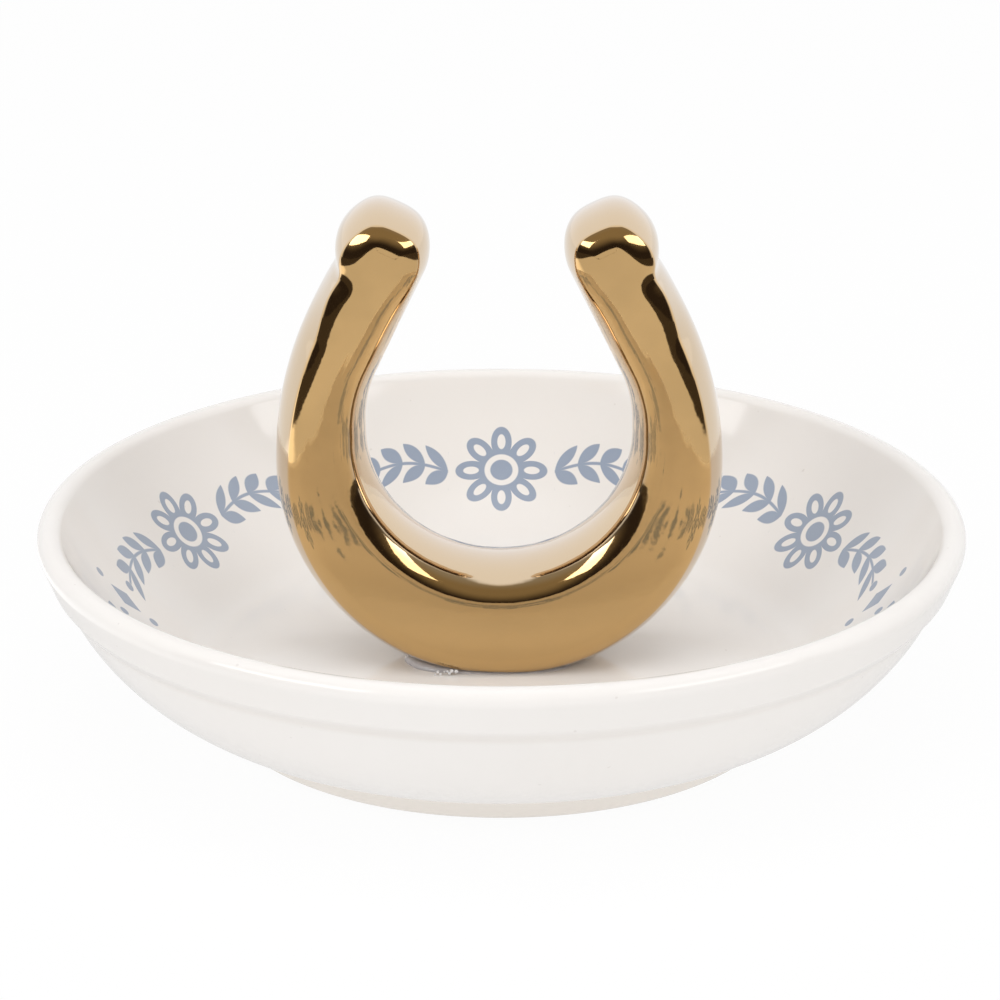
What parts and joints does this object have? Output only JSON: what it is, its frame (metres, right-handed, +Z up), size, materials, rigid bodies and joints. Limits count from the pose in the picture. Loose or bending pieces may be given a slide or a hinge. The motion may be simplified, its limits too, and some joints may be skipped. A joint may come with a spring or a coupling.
{
  "type": "ring dish",
  "caption": "Round shallow ceramic dish on a foot ring, with an upright gold horseshoe cemented to its floor to hang rings on.",
  "frame": {"origin": "middle of the foot ring's underside, on the surface that the dish stands on", "axes": "+Z up, +X across the horseshoe from branch to branch, -Y towards the side seen in the picture"},
  "size_m": [0.115, 0.115, 0.0664],
  "materials": {
    "dish_glaze": "glossy warm white glaze with a blue print fired into it",
    "gold_lustre": "mirror gold lustre fired over a glazed casting",
    "clear_cement": "clear set cement, greyish where it is squeezed out"
  },
  "bodies": {
    "root": {"dish_body": "dish_glaze", "horseshoe_stand": "gold_lustre", "glue_bed": "clear_cement"}
  },
  "joints": []
}
